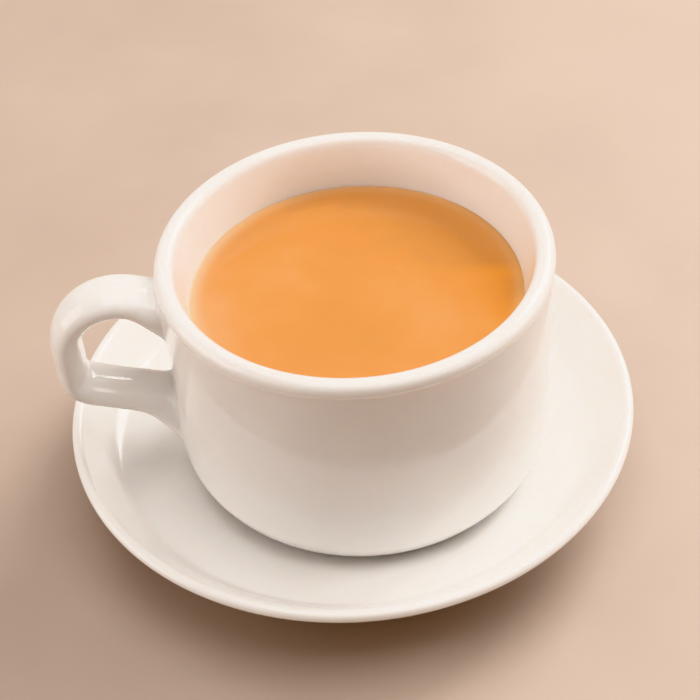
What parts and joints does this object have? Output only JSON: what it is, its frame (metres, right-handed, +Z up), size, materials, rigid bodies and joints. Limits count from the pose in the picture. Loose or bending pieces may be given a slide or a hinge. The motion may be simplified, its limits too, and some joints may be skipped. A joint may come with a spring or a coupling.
{
  "type": "cup of milk tea on a saucer",
  "caption": "White glazed porcelain cup with a round-cornered bowl and loop handle, filled with milk tea, standing on a saucer with an upturned edge.",
  "frame": {"origin": "middle of the saucer, on the plane it stands on", "axes": "+Z up out of the cup, -X along the handle, +Y the far side with the handle to the left"},
  "size_m": [0.142, 0.142, 0.0721],
  "materials": {
    "saucer_porcelain": "gloss",
    "cup_porcelain": "gloss",
    "milk_tea": "gloss"
  },
  "bodies": {
    "root": {"saucer": "saucer_porcelain", "cup": "cup_porcelain", "tea": "milk_tea"}
  },
  "joints": []
}
